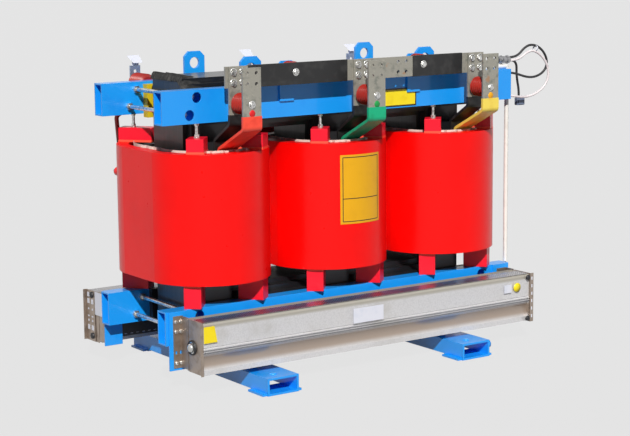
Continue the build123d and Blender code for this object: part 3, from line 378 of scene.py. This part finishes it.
def turned(mesh, profile, centre, axis, steps=32):
    """Revolve (along, radius) pairs about an axis through a centre."""
    along = {"x": Vector((1, 0, 0)), "y": Vector((0, 1, 0)), "z": Vector((0, 0, 1))}[axis]
    across = Vector((0, 0, 1)) if axis != "z" else Vector((1, 0, 0))
    third = along.cross(across)
    rings = []
    for distance, radius in profile:
        ring = []
        for step in range(steps):
            angle = 2 * math.pi * step / steps
            offset = across * math.cos(angle) + third * math.sin(angle)
            ring.append(mesh.verts.new(Vector(centre) + along * distance + offset * radius))
        rings.append(ring)
    for first, second in zip(rings, rings[1:]):
        for step in range(steps):
            following = (step + 1) % steps
            face = mesh.faces.new((first[step], first[following], second[following], second[step]))
            face.smooth = True
    bmesh.ops.recalc_face_normals(mesh, faces=mesh.faces)


STRAIGHT_HALF = 0.116
ARC_RISE = 0.93


def reach(half_width, x):
    """How far an oblong winding reaches along Y at a place x from its middle."""
    rise = ARC_RISE * half_width
    radius = (half_width ** 2 + rise ** 2) / (2 * rise)
    return STRAIGHT_HALF + rise - radius + math.sqrt(radius ** 2 - x ** 2)


def coil_patch(mesh, coil, x_span, z_span, proud, columns=24):
    """A patch that follows the front of a coil, standing a little proud of it."""
    low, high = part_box(coil)
    middle = (low.x + high.x) / 2
    half = (high.x - low.x) / 2
    rows = []
    for column in range(columns + 1):
        x = x_span[0] + (x_span[1] - x_span[0]) * column / columns
        y = -reach(half, x - middle) - proud
        rows.append([mesh.verts.new((x, y, z)) for z in z_span])
    for first, second in zip(rows, rows[1:]):
        mesh.faces.new((first[0], second[0], second[1], first[1]))


# ---- the plain sign on the middle coil ------------------------------------------------
SIGN_X = (-0.089, 0.100)
SIGN_Z = (0.578, 0.850)
SIGN_PROUD = 0.0008
LINES_PROUD = 0.0014
sign = bmesh.new()
coil_patch(sign, "hv_coil_centre", SIGN_X, SIGN_Z, SIGN_PROUD)
add("warning_panel", sign, SIGN_YELLOW)
frame_lines = bmesh.new()
INSET = 0.010
LINE = 0.003
SPLIT_Z = 0.678
left, right = SIGN_X[0] + INSET, SIGN_X[1] - INSET
bottom, top = SIGN_Z[0] + INSET, SIGN_Z[1] - INSET
for z in (bottom, SPLIT_Z, top):
    coil_patch(frame_lines, "hv_coil_centre", (left, right), (z - LINE / 2, z + LINE / 2), LINES_PROUD)
for x in (left, right):
    coil_patch(frame_lines, "hv_coil_centre", (x - LINE / 2, x + LINE / 2), (bottom, top), LINES_PROUD, 1)
add("warning_panel_lines", frame_lines, SIGN_BLACK)

# ---- labels ---------------------------------------------------------------------------
LABEL_PROUD = 0.0008
LABEL_SUNK = 0.0002
FAN_LABEL_CORNERS = ((-0.7745, 0.214), (-0.716, 0.214), (-0.728, 0.276), (-0.7745, 0.276))
FAN_DOT_X = 0.746
FAN_DOT_Z = 0.240
FAN_DOT_RADIUS = 0.019
clamp_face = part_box("upper_clamp_front")[0].y
fan_low, fan_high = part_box("fan_housing_front")
for name, x, z, proud, face, sunk, material in (
    ("clamp_label_border", (0.171, 0.337), (1.014, 1.088), LABEL_PROUD, clamp_face, 0.0, SIGN_BLACK),
    ("clamp_label", (0.176, 0.331), (1.020, 1.082), LINES_PROUD, clamp_face, 0.0, LABEL_YELLOW),
    ("fan_label_middle", (-0.095, 0.051), (0.199, 0.258), LABEL_PROUD, fan_low.y, LABEL_SUNK, LABEL_WHITE),
    ("fan_label_right", (0.676, 0.716), (0.222, 0.256), LABEL_PROUD, fan_low.y, LABEL_SUNK, LABEL_WHITE),
):
    label = bmesh.new()
    plate(label, (x[0], face - proud, z[0]), (x[1], face + sunk, z[1]))
    add(name, label, material)
label = bmesh.new()
label.faces.new([label.verts.new((x, fan_low.y - LABEL_PROUD, z)) for x, z in FAN_LABEL_CORNERS])
add("fan_label_left", label, LABEL_YELLOW)
dot = bmesh.new()
turned(dot, ((0.0, 0.0), (0.0, FAN_DOT_RADIUS), (0.001, FAN_DOT_RADIUS)),
       (FAN_DOT_X, fan_low.y - 0.0009, FAN_DOT_Z), "y")
add("fan_dot_right", dot, LABEL_YELLOW)


# ---- insulating barriers between the windings -------------------------------------------
OUTLINE_STEPS = 40


def oblong_points(half_width):
    """The outline of an oblong, as points round it."""
    front = []
    for step in range(OUTLINE_STEPS + 1):
        x = -half_width + 2 * half_width * step / OUTLINE_STEPS
        front.append((x, -reach(half_width, x)))
    return front + [(-x, -y) for x, y in front]


BARRIER = 0.1745
BARRIER_WALL = 0.0016
BARRIER_RISE = 0.006
for side in SIDES:
    low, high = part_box("hv_coil_" + side)
    middle = (low.x + high.x) / 2
    barrier = bmesh.new()
    loops = []
    rim = high.z + BARRIER_RISE
    for half_width, z in ((BARRIER, low.z), (BARRIER, rim),
                          (BARRIER + BARRIER_WALL, rim), (BARRIER + BARRIER_WALL, low.z)):
        loops.append([barrier.verts.new((middle + x, y, z)) for x, y in oblong_points(half_width)])
    for first, second in zip(loops, loops[1:]):
        for index in range(len(first)):
            following = (index + 1) % len(first)
            barrier.faces.new((first[index], first[following], second[following], second[index]))
    bmesh.ops.recalc_face_normals(barrier, faces=barrier.faces)
    add("duct_barrier_" + side, barrier, MATERIALS["spacer_white"])

# ---- ragged varnish paper over the near end of the upper yoke -----------------------------
yoke_low, yoke_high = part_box("core_yoke_upper")
ragged = bmesh.new()
COLUMNS = 120
LAYERS = 3
PAPER_START = 0.116
PAPER_SPAN = 0.262
SINK_START = 0.085
SINK_SPAN = 0.060
SINK_DEPTH = 0.040
WAVE = 0.005
for layer in range(LAYERS):
    previous = None
    for column in range(COLUMNS + 1):
        y = PAPER_START - PAPER_SPAN * column / COLUMNS
        sunk = SINK_DEPTH * max(0.0, -y - SINK_START) / SINK_SPAN
        wave = random.uniform(-WAVE, WAVE) + 0.003 * math.sin(column * 0.7 + layer)
        top = yoke_high.z - sunk
        outer = ragged.verts.new((yoke_low.x - 0.004 - 0.002 * layer, y, top - 0.012 - 0.5 * wave))
        crest = ragged.verts.new((yoke_low.x + 0.002 + wave, y, top + 0.004 + 0.003 * layer + wave))
        inner = ragged.verts.new((yoke_low.x + 0.030 + 0.020 * layer + wave, y, top + 0.001 + 0.001 * layer))
        if previous:
            ragged.faces.new((previous[0], outer, crest, previous[1]))
            ragged.faces.new((previous[1], crest, inner, previous[2]))
        previous = (outer, crest, inner)
add("yoke_paper", ragged, moulded("varnish_paper", rgb(14, 14, 15), 0.6, rgb(66, 64, 62)))

# ---- washers and phase dots of the bars ---------------------------------------------
washers = bmesh.new()
WASHER = ((-0.002, 0.011), (-0.002, 0.0145), (0.0, 0.0150), (0.0, 0.011))
PHASE_BOLT_Z = 1.083
PHASE_DOT_Z = 1.051
NEUTRAL_BOLT_X = (-0.294, 0.319)
NEUTRAL_BOLT_Z = 1.184
for side in SIDES:
    low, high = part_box("phase_bar_" + side)
    middle = (low.x + high.x) / 2
    turned(washers, WASHER, (middle, low.y, PHASE_BOLT_Z), "y", 24)
    lead_low, lead_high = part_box("neutral_lead_" + side)
    for dx in (-0.02, 0.02):
        for z in (lead_high.z - 0.02, lead_high.z - 0.06):
            turned(washers, WASHER, (middle + dx, lead_low.y, z), "y", 24)
busbar_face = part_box("neutral_busbar")[0].y
for x in NEUTRAL_BOLT_X:
    turned(washers, WASHER, (x, busbar_face, NEUTRAL_BOLT_Z), "y", 24)
add("bar_washers", washers, MATERIALS["zinc_steel"])

for side, color in zip(SIDES, (rgb(222, 30, 36), rgb(20, 150, 70), rgb(240, 170, 20))):
    low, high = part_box("phase_bar_" + side)
    middle = (low.x + high.x) / 2
    dot = bmesh.new()
    turned(dot, ((-0.0008, 0.0), (-0.0008, 0.0125), (0.0, 0.0130)), (middle, low.y, PHASE_DOT_Z), "y")
    add("phase_dot_" + side, dot, moulded("dot_" + side, color, 0.4, color))

# ---- fans: intake screens, end covers, grommets ---------------------------------------------
TURN = Matrix.Rotation(math.pi, 4, "Z")


def both_fans(name, mesh, material):
    """A piece of the front fan, and its copy on the rear fan, which is turned half a turn."""
    rear = mesh.copy()
    bmesh.ops.transform(rear, matrix=TURN, verts=rear.verts)
    add(name + "_front", mesh, material)
    add(name + "_rear", rear, material)


lid = bmesh.new()
plate(lid, (fan_low.x + 0.004, fan_low.y + 0.010, fan_high.z),
      (fan_high.x - 0.004, fan_low.y + 0.080, fan_high.z + 0.0008))
both_fans("fan_screen", lid, SCREEN)

cover = bmesh.new()
COVER = 0.0015
plate(cover, (fan_low.x - COVER, fan_low.y, fan_low.z), (fan_low.x, fan_low.y + 0.105, fan_high.z))
plate(cover, (fan_low.x - 0.012, fan_low.y, fan_low.z), (fan_low.x - COVER, fan_low.y + COVER, fan_high.z))
both_fans("fan_end_cover", cover, MATERIALS["end_plate"])

corner_holes = bmesh.new()
for z in (fan_low.z + 0.022, fan_high.z - 0.022):
    plate(corner_holes, (fan_low.x - COVER - 0.0006, fan_low.y + 0.009, z - 0.006),
          (fan_low.x - COVER, fan_low.y + 0.019, z + 0.006))
both_fans("fan_corner_holes", corner_holes, SIGN_BLACK)

AXIS_Y, AXIS_Z = -0.342, 0.186
seal = bmesh.new()
turned(seal, ((-0.001, 0.022), (-0.006, 0.0225), (-0.009, 0.025), (-0.006, 0.028), (0.0, 0.029)),
       (fan_low.x - COVER, AXIS_Y, AXIS_Z), "x")
both_fans("fan_cap_ring", seal, MATERIALS["cable_black"])

far_angle = bmesh.new()
ANGLE_X = (fan_high.x + 0.0005, fan_high.x + 0.0185)
ANGLE_Z = (fan_low.z - 0.004, fan_high.z + 0.002)
plate(far_angle, (ANGLE_X[0], fan_low.y - 0.001, ANGLE_Z[0]), (ANGLE_X[1], fan_low.y + 0.001, ANGLE_Z[1]))
plate(far_angle, (ANGLE_X[0], fan_low.y, ANGLE_Z[0]), (ANGLE_X[0] + 0.002, fan_low.y + 0.100, ANGLE_Z[1]))
both_fans("fan_far_angle", far_angle, MATERIALS["end_plate"])
slots = bmesh.new()
SLOT_ROWS = 6
SLOT_PITCH = 0.032
for row in range(SLOT_ROWS):
    z = fan_low.z + 0.020 + row * SLOT_PITCH
    plate(slots, (ANGLE_X[0] + 0.006, fan_low.y - 0.0016, z - 0.007),
          (ANGLE_X[0] + 0.012, fan_low.y - 0.001, z + 0.007), 0.0003)
both_fans("fan_far_slots", slots, LABEL_WHITE)
grommets = bmesh.new()
GROMMET = ((-0.006, 0.0), (-0.006, 0.007), (-0.004, 0.0105), (0.0, 0.0110))
for z in (fan_low.z + 0.012, fan_high.z - 0.014):
    turned(grommets, GROMMET, (fan_high.x - 0.012, fan_low.y, z), "y")
both_fans("fan_grommets", grommets, MATERIALS["cable_black"])

# ---- the rear fan's near end: a slotted strip and a bright plate -------------------------------
rear_low, rear_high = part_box("fan_housing_rear")
END_X = rear_low.x - 0.0040
strip = bmesh.new()
plate(strip, (END_X - 0.0020, rear_high.y - 0.072, rear_low.z - 0.004), (END_X, rear_high.y, rear_high.z + 0.002))
add("rear_end_strip", strip, MATERIALS["end_plate"])
bright = bmesh.new()
plate(bright, (END_X - 0.0012, rear_high.y - 0.130, AXIS_Z + 0.012),
      (END_X, rear_high.y - 0.073, rear_high.z + 0.002))
add("rear_end_plate", bright, LABEL_WHITE)
strip_holes = bmesh.new()
TOP_HOLE = (0.274, 0.009, 0.009)
STRIP_HOLES = ((0.247, 0.009, 0.010), (0.215, 0.005, 0.004), (0.186, 0.007, 0.003), (0.168, 0.005, 0.004),
               (0.140, 0.009, 0.010))
CAP_Y = rear_high.y - 0.052
for y, holes in ((rear_high.y - 0.020, (TOP_HOLE, *STRIP_HOLES)), (CAP_Y, STRIP_HOLES)):
    for z, half_y, half_z in holes:
        plate(strip_holes, (END_X - 0.0026, y - half_y, z - half_z),
              (END_X - 0.0020, y + half_y, z + half_z), 0.0002)
add("rear_strip_holes", strip_holes, LABEL_WHITE)
strip_caps = bmesh.new()
CAP = ((0.0, 0.013), (-0.006, 0.012), (-0.008, 0.008), (-0.008, 0.0))
for z in (0.276, 0.108):
    turned(strip_caps, CAP, (END_X - 0.002, CAP_Y, z), "x")
add("rear_strip_caps", strip_caps, MATERIALS["cable_black"])
rear_holes = bmesh.new()
REAR_SLOTS = 14
REAR_SLOT_PITCH = 0.027
REAR_SLOT_Z = (0.1120, 0.1145)
for index in range(REAR_SLOTS):
    x = END_X + 0.050 + REAR_SLOT_PITCH * index
    plate(rear_holes, (x, rear_low.y - 0.003, REAR_SLOT_Z[0]),
          (x + 0.012, rear_low.y - 0.0022, REAR_SLOT_Z[1]))
add("rear_fan_slots", rear_holes, LABEL_WHITE)
# painted shade: a black sheet over the rear fan's inner face under the first coil, where the coil's shadow falls
rear_fan_shade_sheet = bmesh.new()
plate(rear_fan_shade_sheet, (rear_low.x + 0.06, rear_low.y - 0.0022, rear_low.z + 0.014),
      (rear_low.x + 0.60, rear_low.y - 0.0016, rear_high.z - 0.010))
add("rear_fan_painted_shade", rear_fan_shade_sheet, MATERIALS["cable_black"])

# ---- bolts of the straps --------------------------------------------------------------------
strap_bolts = bmesh.new()
HEX = ((0.0, 0.0078), (-0.0055, 0.0078), (-0.0062, 0.0070), (-0.0062, 0.0))
STRAP_MIDDLE = -0.791
STRAP_FACE = -0.268
STRAP_BOLT_Z = (0.115, 0.235, 0.272)
for z in STRAP_BOLT_Z:
    for dx in (-0.010, 0.010):
        turned(strap_bolts, HEX, (STRAP_MIDDLE + dx, STRAP_FACE + 0.006, z), "y", 6)
both_fans("strap_bolts", strap_bolts, MATERIALS["zinc_steel"])

# ---- tags on the high-voltage tabs --------------------------------------------------------------
TAG_X = (-0.600, -0.070, 0.468)
TAG_Y = 0.372
STEM_Y = 0.3725
TAB_TOP = 1.186
TAG_RISE = 0.040
TAG_CORNERS = ((-0.034, 0.0), (0.022, 0.0), (0.030, -0.030), (-0.012, -0.030))
STEM_CORNERS = ((-0.010, -0.012), (0.020, -0.012), (0.020, 0.012), (-0.010, 0.012))
for side, x in zip(SIDES, TAG_X):
    tag = bmesh.new()
    tag.faces.new([tag.verts.new((x + dx, TAG_Y + dz / 2, TAB_TOP + TAG_RISE + dz)) for dx, dz in TAG_CORNERS])
    tag.faces.new([tag.verts.new((x + dx, STEM_Y, TAB_TOP + dz)) for dx, dz in STEM_CORNERS])
    add("phase_tag_" + side, tag, LABEL_WHITE)

# ---- plugs and ear on the rails ---------------------------------------------------------------------------
PLUG = ((0.0, 0.013), (0.004, 0.012), (0.005, 0.009), (0.005, 0.0))
RAIL_TOP = 0.067
EAR = ((0.0, 0.0), (0.0, 0.016), (0.012, 0.016), (0.012, 0.0))
for side in ("left", "right"):
    low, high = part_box("rail_" + side)
    middle = (low.x + high.x) / 2
    plug = bmesh.new()
    turned(plug, PLUG, (middle - 0.010, low.y + 0.055, RAIL_TOP), "z", 10)
    add("rail_plug_" + side, plug, BLUE)
ear = bmesh.new()
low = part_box("rail_right")[0]
turned(ear, EAR, (low.x + 0.157, low.y + 0.020, 0.046), "x")
add("rail_ear_right", ear, BLUE)

# ---- cables ------------------------------------------------------------------------------------------
GLAND_FACE = 0.8596
CONDUIT_Y = -0.222
CONDUIT_X = 0.8493
EXIT_BLACK = (GLAND_FACE, CONDUIT_Y, 1.1801)
EXIT_WHITE = (GLAND_FACE, -0.2295, 1.1676)
EXIT_DROP = (GLAND_FACE, -0.2145, 1.1676)
CABLES = {
    "black": (0.520, "object", MATERIALS["cable_black"], [
        EXIT_BLACK, (0.890, -0.222, 1.1801), (0.916, -0.225, 1.192), (0.936, -0.229, 1.214),
        (0.966, -0.233, 1.230), (1.004, -0.237, 1.224), (1.040, -0.239, 1.198), (1.062, -0.238, 1.160),
        (1.058, -0.235, 1.124), (1.030, -0.232, 1.100), (0.990, -0.231, 1.090), (0.948, -0.233, 1.094),
        (0.906, -0.238, 1.106), (0.866, -0.243, 1.116), (0.832, -0.244, 1.119)]),
    "white": (0.543, "object", MATERIALS["cable_white"], [
        EXIT_WHITE, (0.890, -0.2295, 1.1676), (0.918, -0.234, 1.178), (0.945, -0.239, 1.198),
        (0.975, -0.243, 1.206), (1.010, -0.247, 1.190), (1.044, -0.249, 1.158), (1.062, -0.248, 1.114),
        (1.058, -0.246, 1.074), (1.034, -0.243, 1.042), (0.994, -0.241, 1.020), (0.950, -0.240, 1.010),
        (0.908, -0.242, 1.012), (0.866, -0.244, 1.019), (0.832, -0.244, 1.022)]),
    "drop": (0.203, "connector", MATERIALS["cable_black"], [
        EXIT_DROP, (0.892, -0.2145, 1.1676), (0.914, -0.211, 1.148), (0.916, -0.208, 1.112),
        (0.921, -0.208, 1.076), (0.930, -0.208, 1.040), (0.930, -0.208, 1.0063)]),
    "fan": (0.192, "object", MATERIALS["cable_white"], [
        (CONDUIT_X, CONDUIT_Y, 0.3117), (CONDUIT_X, CONDUIT_Y, 0.290), (0.858, -0.240, 0.272),
        (0.866, -0.272, 0.264), (0.868, -0.306, 0.262), (0.862, -0.334, 0.260), (0.844, -0.350, 0.258),
        (0.8173, -0.350, 0.258)]),
}
CABLE_RADIUS = 0.005
for name, (length, far_end, material, points) in CABLES.items():
    data = bpy.data.curves.new("cable_" + name + "_jacket", "CURVE")
    data.dimensions = "3D"
    data.bevel_depth = CABLE_RADIUS
    data.bevel_resolution = 5
    data.use_fill_caps = True
    data.resolution_u = 12
    spline = data.splines.new("NURBS")
    spline.points.add(len(points) - 1)
    for point, place in zip(spline.points, points):
        point.co = (*place, 1.0)
    spline.order_u = 3
    spline.use_endpoint_u = True
    data.materials.append(material)
    piece = bpy.data.objects.new("cable_" + name + "_jacket", data)
    bpy.context.scene.collection.objects.link(piece)
    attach(piece, ROOT)
    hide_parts("cable_" + name)


BAND_WALL = 0.0008


def band(name, centre, along, radius, length, material):
    """A short band round the cables."""
    mesh = bmesh.new()
    half = length / 2
    inner = radius - BAND_WALL
    turned(mesh, ((-half, inner), (-half, radius), (half, radius), (half, inner)), (0, 0, 0), "x", 20)
    turn = Vector((1, 0, 0)).rotation_difference(Vector(along)).to_matrix().to_4x4()
    bmesh.ops.transform(mesh, matrix=Matrix.Translation(centre) @ turn, verts=mesh.verts)
    return add(name, mesh, material)


tie = band("cable_tie", (0.992, -0.240, 1.212), (1.0, -0.1, -0.3), 0.0145, 0.007, LABEL_WHITE)

# ---- floor, light and camera -----------------------------------------------------------------------------
BACKDROP = rgb(236, 236, 236)
SEEN_BY = ("Is Camera Ray", "Is Glossy Ray", "Is Transmission Ray")
FLOOR_SIZE = 60.0
FLOOR_GREY = rgb(120, 120, 122)
FLOOR_GLOW = 0.9
FILL_COLOR = (0.72, 0.80, 1.0, 1.0)
FILL_STRENGTH = 0.12


def paper_floor():
    """A floor that looks like the backdrop where it is seen, and keeps a share of the object's shadow."""
    grid = bmesh.new()
    bmesh.ops.create_grid(grid, x_segments=1, y_segments=1, size=FLOOR_SIZE)
    data = bpy.data.meshes.new("floor")
    grid.to_mesh(data)
    grid.free()
    floor = bpy.data.objects.new("floor", data)
    bpy.context.scene.collection.objects.link(floor)
    paper = bpy.data.materials.new("paper")
    paper.use_nodes = True
    nodes, links = paper.node_tree.nodes, paper.node_tree.links
    diffuse = nodes["Principled BSDF"]
    diffuse.inputs["Base Color"].default_value = FLOOR_GREY
    diffuse.inputs["Roughness"].default_value = 0.9
    plain = nodes.new("ShaderNodeEmission")
    plain.inputs["Color"].default_value = BACKDROP
    rays = nodes.new("ShaderNodeLightPath").outputs
    seen = rays[SEEN_BY[0]]
    for kind in SEEN_BY[1:]:
        either = nodes.new("ShaderNodeMath")
        either.operation = "ADD"
        links.new(seen, either.inputs[0])
        links.new(rays[kind], either.inputs[1])
        seen = either.outputs["Value"]
    share = nodes.new("ShaderNodeMath")
    share.operation = "MULTIPLY"
    share.use_clamp = True
    share.inputs[1].default_value = FLOOR_GLOW
    links.new(seen, share.inputs[0])
    choose = nodes.new("ShaderNodeMixShader")
    links.new(share.outputs["Value"], choose.inputs["Fac"])
    links.new(diffuse.outputs["BSDF"], choose.inputs[1])
    links.new(plain.outputs["Emission"], choose.inputs[2])
    links.new(choose.outputs["Shader"], nodes["Material Output"].inputs["Surface"])
    data.materials.append(paper)


def open_sky():
    """Even bluish fill light, and the plain backdrop wherever the sky itself is seen."""
    world = bpy.data.worlds.new("sky")
    bpy.context.scene.world = world
    world.use_nodes = True
    nodes, links = world.node_tree.nodes, world.node_tree.links
    nodes.clear()

    def light(color, strength):
        node = nodes.new("ShaderNodeBackground")
        node.inputs["Color"].default_value = color
        node.inputs["Strength"].default_value = strength
        return node.outputs["Background"]

    def mix(factor, first, second):
        node = nodes.new("ShaderNodeMixShader")
        links.new(factor, node.inputs["Fac"])
        links.new(first, node.inputs[1])
        links.new(second, node.inputs[2])
        return node.outputs["Shader"]

    rays = nodes.new("ShaderNodeLightPath").outputs
    seen = light(FILL_COLOR, FILL_STRENGTH)
    for kind in SEEN_BY:
        seen = mix(rays[kind], seen, light(BACKDROP, 1.0))
    output = nodes.new("ShaderNodeOutputWorld")
    links.new(seen, output.inputs["Surface"])


paper_floor()
open_sky()
SUN_TRAVEL = Vector((0.62, 1.0, -0.92))
SUN_STRENGTH = 3.9
SUN_WIDTH = 0.6
SUN_COLOR = (1.0, 0.97, 0.93)
sun = bpy.data.lights.new("sun", "SUN")
sun.energy = SUN_STRENGTH
sun.angle = math.radians(SUN_WIDTH)
sun.color = SUN_COLOR
sun_object = bpy.data.objects.new("sun", sun)
sun_object.rotation_euler = SUN_TRAVEL.to_track_quat("-Z", "Y").to_euler()
bpy.context.scene.collection.objects.link(sun_object)

PLACE = Vector((-4.0244, -5.8429, 1.6960))
SENSOR_WIDTH = 36.0
LENS = 100.5
SHIFT_X = 0.0033
SHIFT_Y = 0.0025
YAW, PITCH, ROLL = (math.radians(angle) for angle in (-34.6, -9.2, -0.54))
forward = Vector((-math.sin(YAW) * math.cos(PITCH), math.cos(YAW) * math.cos(PITCH), math.sin(PITCH)))
level = Vector((math.cos(YAW), math.sin(YAW), 0.0))
upright = level.cross(forward)
right_vector = level * math.cos(ROLL) + upright * math.sin(ROLL)
up_vector = upright * math.cos(ROLL) - level * math.sin(ROLL)
camera_data = bpy.data.cameras.new("camera")
camera_data.sensor_width = SENSOR_WIDTH
camera_data.lens = LENS
camera_data.shift_x = SHIFT_X
camera_data.shift_y = SHIFT_Y
camera = bpy.data.objects.new("camera", camera_data)
turn = Matrix((right_vector, up_vector, -forward)).transposed().to_4x4()
camera.matrix_world = Matrix.Translation(PLACE) @ turn
bpy.context.scene.collection.objects.link(camera)

bpy.context.scene.camera = camera
bpy.context.scene.view_settings.view_transform = "Standard"
